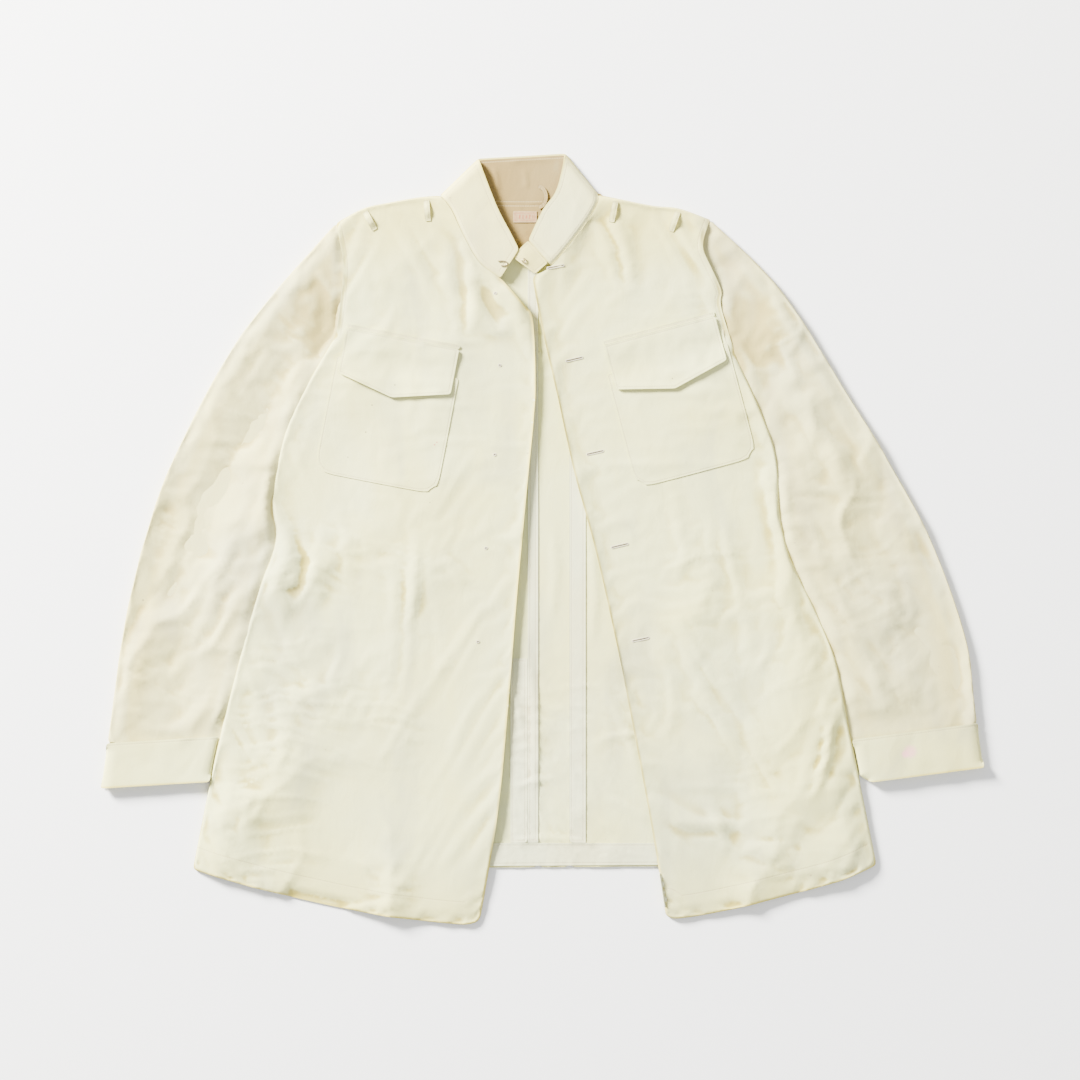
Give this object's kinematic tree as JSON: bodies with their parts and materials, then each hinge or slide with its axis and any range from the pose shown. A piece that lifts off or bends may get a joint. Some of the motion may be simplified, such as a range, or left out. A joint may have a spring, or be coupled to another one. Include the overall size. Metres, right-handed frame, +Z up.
{
  "type": "laboratory coat",
  "caption": "Hip-length cotton laboratory coat laid flat and open, with a standing band collar, patch pockets with pointed flaps, shoulder loops and long cuffed sleeves.",
  "frame": {"origin": "middle of the underside of the coat's bounding box, on the surface that it lies on", "axes": "+X to the right-hand side of the coat as seen from its front, along its widest extent; +Y towards the collar; +Z up from the surface"},
  "size_m": [0.9286, 0.8116, 0.0188],
  "materials": {
    "cotton_body": "crisp plain-weave cotton, creased and yellowed",
    "cotton_collar": "starched cotton, yellowed",
    "cotton_inside": "plain cotton, matt",
    "stitch_thread": "cotton stitching",
    "label": "woven tape, blank",
    "hook_wire": "dull wire"
  },
  "bodies": {
    "coat_body": {"back_centre_panel": "cotton_body", "back_hem_facing": "cotton_inside", "back_left_panel": "cotton_body", "back_right_panel": "cotton_body", "button_eyelet_1": "stitch_thread", "button_eyelet_2": "stitch_thread", "button_eyelet_3": "stitch_thread", "buttonhole_1": "stitch_thread", "buttonhole_2": "stitch_thread", "buttonhole_3": "stitch_thread", "centre_seam_tape": "cotton_inside", "collar_back": "cotton_collar", "collar_lining": "cotton_inside", "felled_seam_tape": "cotton_inside", "left_flap_seam": "cotton_body", "left_front": "cotton_body", "left_inner_shoulder_loop": "cotton_body", "left_outer_shoulder_loop": "cotton_body", "left_pocket": "cotton_body", "left_upper_facing": "cotton_inside", "neck_facing": "cotton_inside", "neck_label": "label", "right_flap_seam": "cotton_body", "right_front": "cotton_body", "right_inner_shoulder_loop": "cotton_body", "right_outer_shoulder_loop": "cotton_body", "right_pocket": "cotton_body", "right_upper_facing": "cotton_inside", "vent_facing": "cotton_inside"},
    "left_front_corner": {"left_front_skirt": "cotton_body", "left_lower_facing": "cotton_inside", "button_eyelet_4": "stitch_thread", "button_eyelet_5": "stitch_thread"},
    "right_front_corner": {"right_front_skirt": "cotton_body", "right_lower_facing": "cotton_inside", "buttonhole_4": "stitch_thread", "buttonhole_5": "stitch_thread"},
    "left_flap": {"left_pocket_flap": "cotton_body"},
    "right_flap": {"right_pocket_flap": "cotton_body"},
    "left_sleeve": {"left_sleeve_under": "cotton_body", "left_sleeve_top": "cotton_body", "left_cuff": "cotton_body"},
    "right_sleeve": {"right_sleeve_under": "cotton_body", "right_sleeve_top": "cotton_body", "right_cuff": "cotton_body"},
    "left_collar": {"left_collar_leaf": "cotton_collar", "collar_hook": "hook_wire"},
    "right_collar": {"right_collar_leaf": "cotton_collar", "throat_tab": "cotton_collar", "collar_eye": "hook_wire"},
    "hanger": {"hanger_loop": "cotton_inside"}
  },
  "joints": [
    {"name": "left_front_turn", "type": "hinge", "parent": "coat_body", "child": "left_front_corner", "pos_m": [-0.00911, 0.12819, 0.01035], "axis": [-0.4786, -0.8781, 0], "range_deg": [0, 140]},
    {"name": "right_front_turn", "type": "hinge", "parent": "coat_body", "child": "right_front_corner", "pos_m": [0.02067, 0.12819, 0.01035], "axis": [-0.4786, 0.8781, 0], "range_deg": [0, 140]},
    {"name": "left_flap_lift", "type": "hinge", "parent": "coat_body", "child": "left_flap", "pos_m": [-0.14616, 0.21052, 0.01895], "axis": [-0.982, 0.1889, 0], "range_deg": [0, 160]},
    {"name": "right_flap_lift", "type": "hinge", "parent": "coat_body", "child": "right_flap", "pos_m": [0.12324, 0.21899, 0.01895], "axis": [-0.9664, -0.2571, 0], "range_deg": [0, 160]},
    {"name": "left_sleeve_swing", "type": "hinge", "parent": "coat_body", "child": "left_sleeve", "pos_m": [-0.21707, 0.33266, 0.005], "axis": [0, 0, -1], "range_deg": [0, 35]},
    {"name": "right_sleeve_swing", "type": "hinge", "parent": "coat_body", "child": "right_sleeve", "pos_m": [0.17666, 0.33619, 0.005], "axis": [0, 0, 1], "range_deg": [0, 35]},
    {"name": "left_collar_stand", "type": "hinge", "parent": "coat_body", "child": "left_collar", "pos_m": [-0.10749, 0.36143, 0.01035], "axis": [0.5877, -0.8091, 0], "range_deg": [0, 90]},
    {"name": "right_collar_stand", "type": "hinge", "parent": "coat_body", "child": "right_collar", "pos_m": [0.05951, 0.36227, 0.01035], "axis": [0.5524, 0.8336, 0], "range_deg": [0, 90]},
    {"name": "hanger_flip", "type": "hinge", "parent": "coat_body", "child": "hanger", "pos_m": [-0.00432, 0.36007, 0.0036], "axis": [0, -1, 0], "range_deg": [0, 170]}
  ]
}
